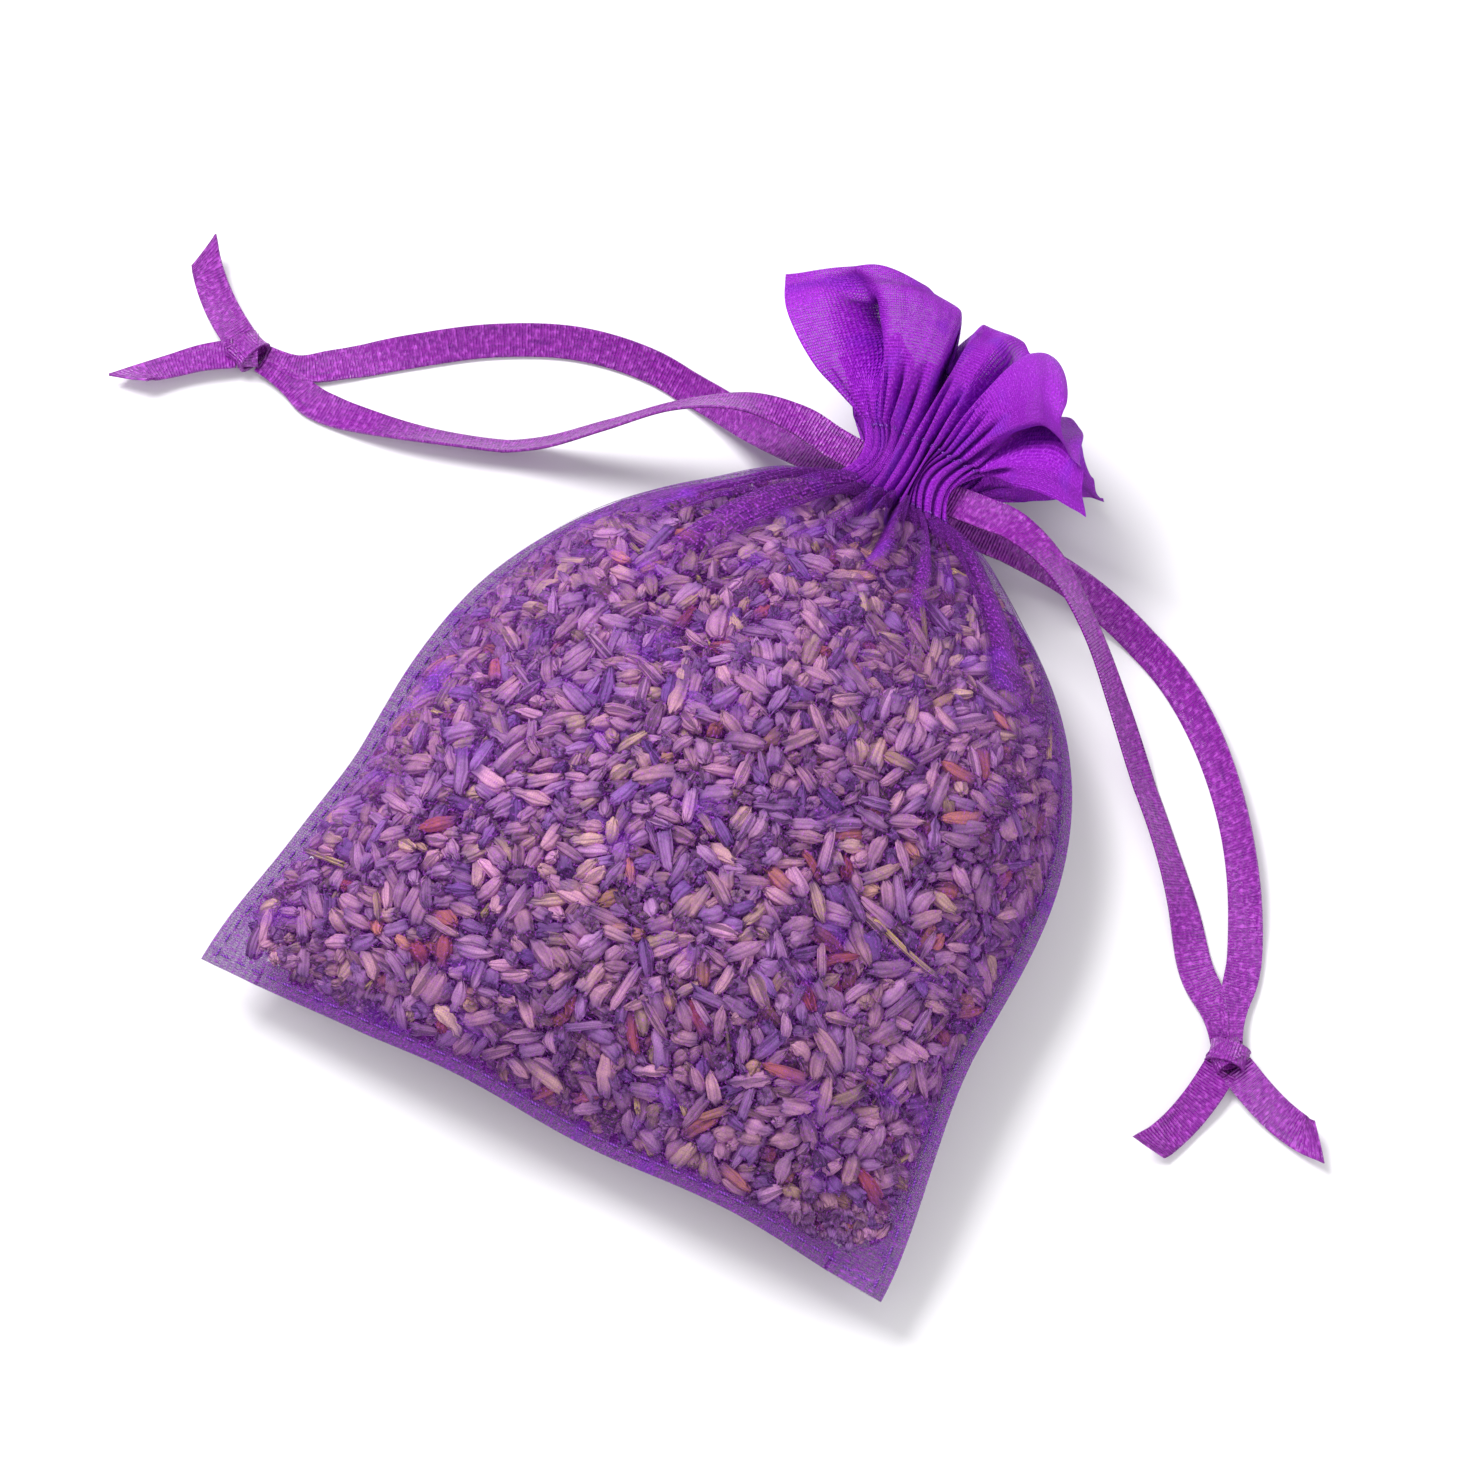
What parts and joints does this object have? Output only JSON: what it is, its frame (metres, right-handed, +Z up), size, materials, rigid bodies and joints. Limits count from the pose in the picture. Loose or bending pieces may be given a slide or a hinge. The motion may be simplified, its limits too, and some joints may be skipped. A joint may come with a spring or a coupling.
{
  "type": "lavender sachet",
  "caption": "Sheer organza drawstring bag filled with dried lavender buds, with a gathered neck, a ruffled heading and knotted satin ribbon drawstrings.",
  "frame": {"origin": "middle of the flattened back face, on the table", "axes": "+Y from the bottom seam to the heading, +Z up from the table to the front panel, +X to the right seen from the front"},
  "size_m": [0.1826, 0.1215, 0.0346],
  "materials": {
    "organza": "satin",
    "seam": "matte",
    "thread": "satin",
    "satin": "satin",
    "lavender": "matte"
  },
  "bodies": {
    "bag": {"lavender_fill": "lavender", "front_panel": "organza", "back_panel": "organza", "left_side_seam": "seam", "right_side_seam": "seam", "bottom_seam": "seam", "front_channel": "organza", "back_channel": "organza", "front_lower_stitches": "thread", "front_upper_stitches": "thread", "back_lower_stitches": "thread", "back_upper_stitches": "thread", "left_drawstring_turn": "satin", "right_drawstring_turn": "satin"},
    "front_flap": {"front_heading": "organza"},
    "back_flap": {"back_heading": "organza"},
    "left_draw": {"left_run_front": "satin", "left_run_back": "satin"},
    "left_loop": {"left_strand_front": "satin", "left_strand_back": "satin", "left_knot": "satin", "left_tail_front": "satin", "left_tail_back": "satin"},
    "right_draw": {"right_run_front": "satin", "right_run_back": "satin"},
    "right_loop": {"right_strand_front": "satin", "right_strand_back": "satin", "right_knot": "satin", "right_tail_front": "satin", "right_tail_back": "satin"}
  },
  "joints": [
    {"name": "front_flap_lift", "type": "hinge", "parent": "bag", "child": "front_flap", "pos_m": [0, 0.0567, 0.01705], "axis": [1, 0, 0], "range_deg": [0, 45], "stiffness_Nm_per_rad": 0.002},
    {"name": "back_flap_lift", "type": "hinge", "parent": "bag", "child": "back_flap", "pos_m": [0, 0.0567, 0.01065], "axis": [1, 0, 0], "range_deg": [0, 12], "stiffness_Nm_per_rad": 0.002},
    {"name": "left_draw_slide", "type": "slide", "parent": "bag", "child": "left_draw", "axis": [-1, 0, 0], "range_m": [0, 0.006]},
    {"name": "left_loop_swing", "type": "hinge", "parent": "left_draw", "child": "left_loop", "pos_m": [-0.0105, 0.0518, 0.012], "axis": [0, 0, 1], "range_deg": [-25, 15]},
    {"name": "right_draw_slide", "type": "slide", "parent": "bag", "child": "right_draw", "axis": [1, 0, 0], "range_m": [0, 0.006]},
    {"name": "right_loop_swing", "type": "hinge", "parent": "right_draw", "child": "right_loop", "pos_m": [0.0105, 0.0518, 0.012], "axis": [0, 0, 1], "range_deg": [-10, 25]}
  ]
}
